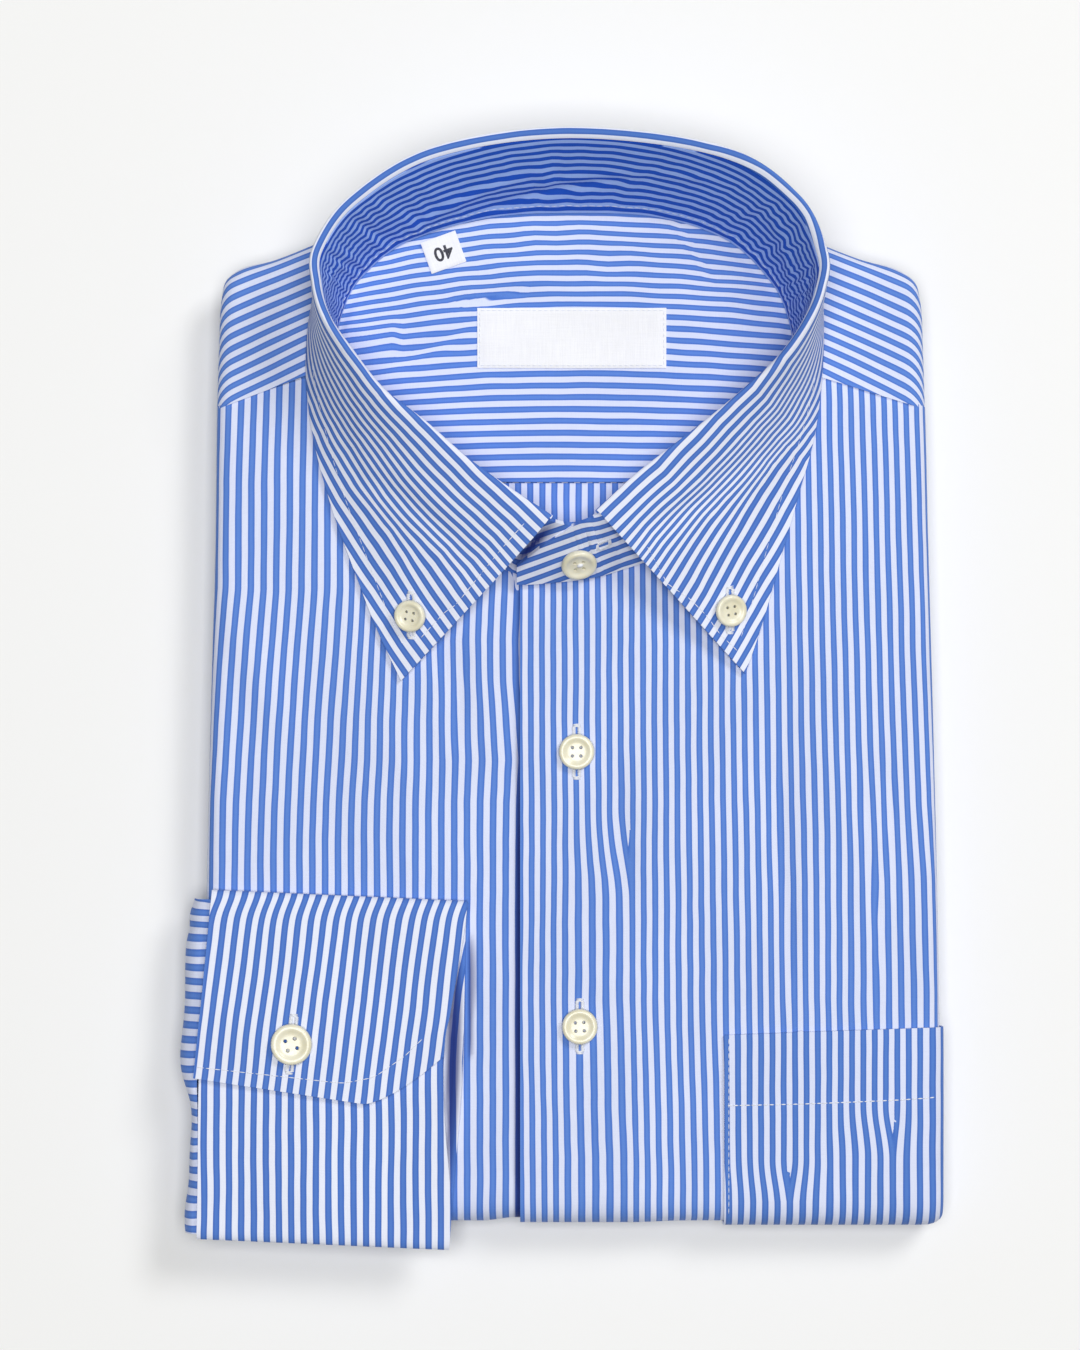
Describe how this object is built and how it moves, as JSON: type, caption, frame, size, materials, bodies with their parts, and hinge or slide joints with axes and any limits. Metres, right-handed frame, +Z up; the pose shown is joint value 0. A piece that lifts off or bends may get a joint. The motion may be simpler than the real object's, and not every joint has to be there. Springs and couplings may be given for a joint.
{
  "type": "folded dress shirt",
  "caption": "Striped long-sleeved dress shirt with a button-down collar, buttoned and folded flat, its cuff turned over the front.",
  "frame": {"origin": "middle of the flat underside, on the line of the front buttons", "axes": "+X to the wearer's left, which is the viewer's right; +Y up the chest towards the collar; +Z up out of the front of the folded shirt"},
  "size_m": [0.2423, 0.3515, 0.0589],
  "materials": {
    "shirting": "blue and white striped cotton poplin",
    "button": "cream, satin",
    "label": "white woven tape"
  },
  "bodies": {
    "root": {"folded_layers": "shirting", "front_left": "shirting", "front_right": "shirting", "pocket": "shirting", "yoke_outer": "shirting", "yoke_inner": "shirting", "back_panel": "shirting", "collar_stand": "shirting", "collar_leaf": "shirting", "cuff_right": "shirting", "sleeve_right": "shirting", "button_front_1": "button", "button_front_2": "button", "button_collar_left": "button", "button_collar_right": "button", "button_neck": "button", "button_cuff": "button", "neck_label": "label", "size_tab": "label"}
  },
  "joints": []
}
